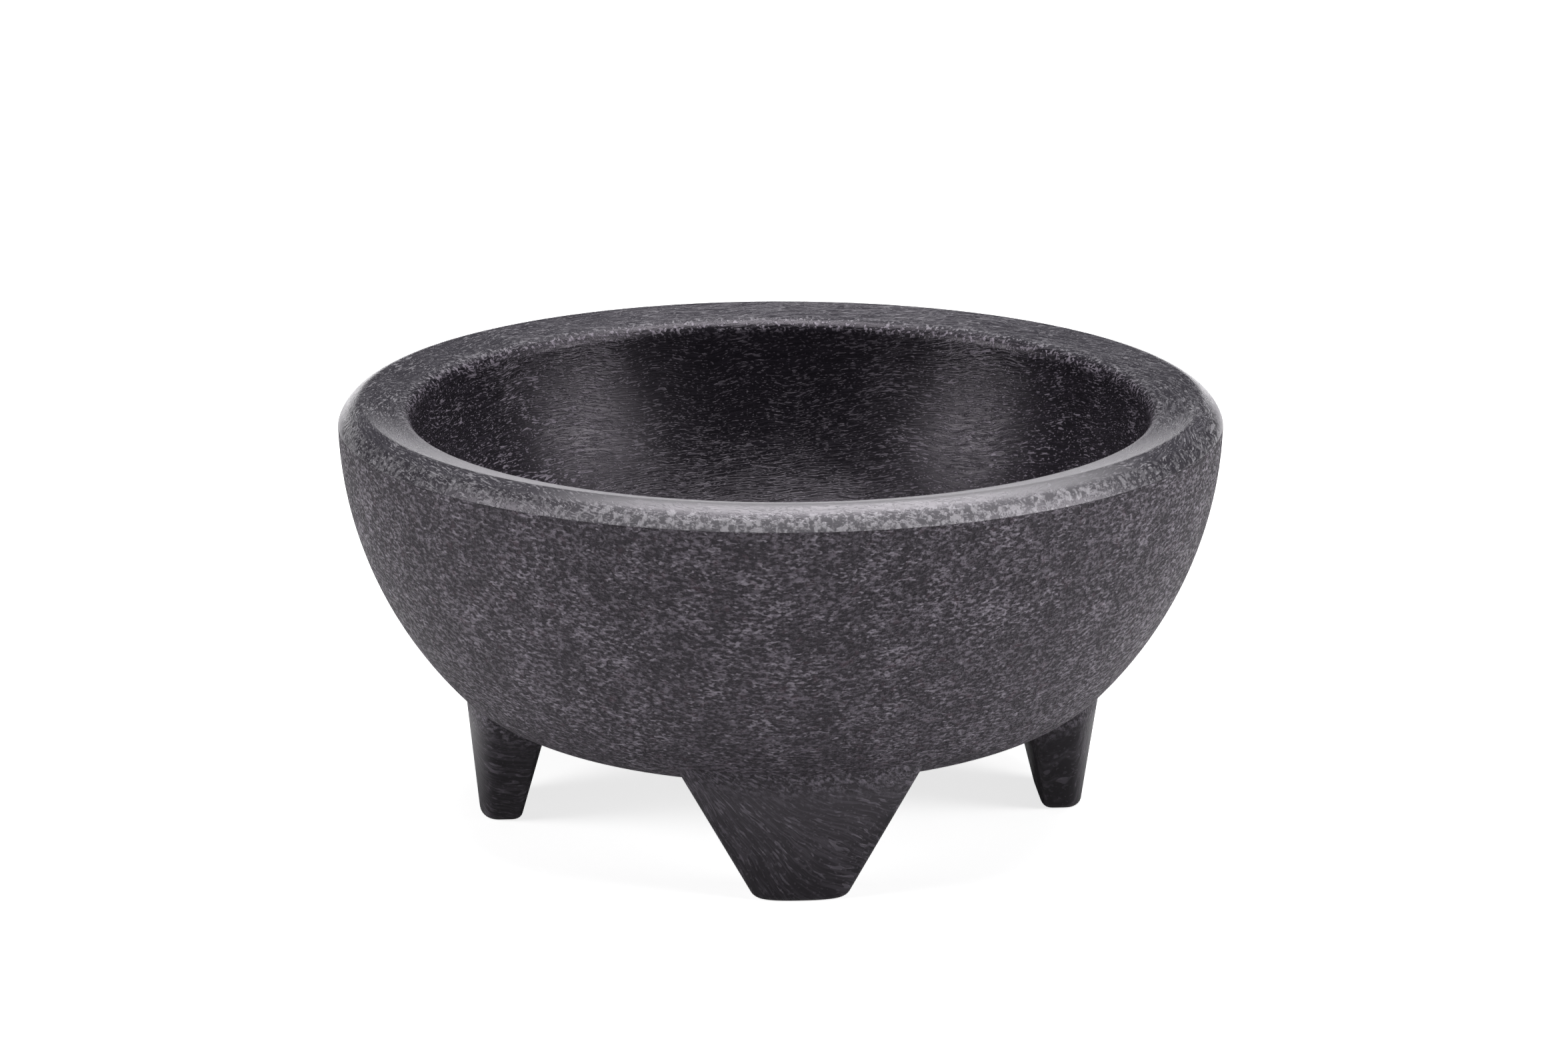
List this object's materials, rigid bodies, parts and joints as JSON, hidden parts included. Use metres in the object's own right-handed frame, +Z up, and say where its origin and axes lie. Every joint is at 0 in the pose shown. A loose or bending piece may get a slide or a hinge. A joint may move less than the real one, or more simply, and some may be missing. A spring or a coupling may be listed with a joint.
{
  "type": "footed molcajete serving bowl",
  "caption": "Round charcoal molcajete bowl for serving salsa or guacamole: smooth rim and cavity, grained outer wall, standing on flared slab feet.",
  "frame": {"origin": "on the standing surface, below the middle of the bowl", "axes": "+Z up along the bowl's axis; the front foot is towards -Y and the right foot towards +X"},
  "size_m": [0.152, 0.152, 0.0738],
  "materials": {
    "smooth_charcoal": "satin, with short curved flow marks",
    "grained_charcoal": "matt, coarse pebbled grain",
    "leg_charcoal": "satin, with fanned flow marks"
  },
  "bodies": {
    "root": {"inner_bowl": "smooth_charcoal", "outer_shell": "grained_charcoal", "leg_front": "leg_charcoal", "leg_right": "leg_charcoal", "leg_rear": "leg_charcoal", "leg_left": "leg_charcoal"}
  },
  "joints": []
}
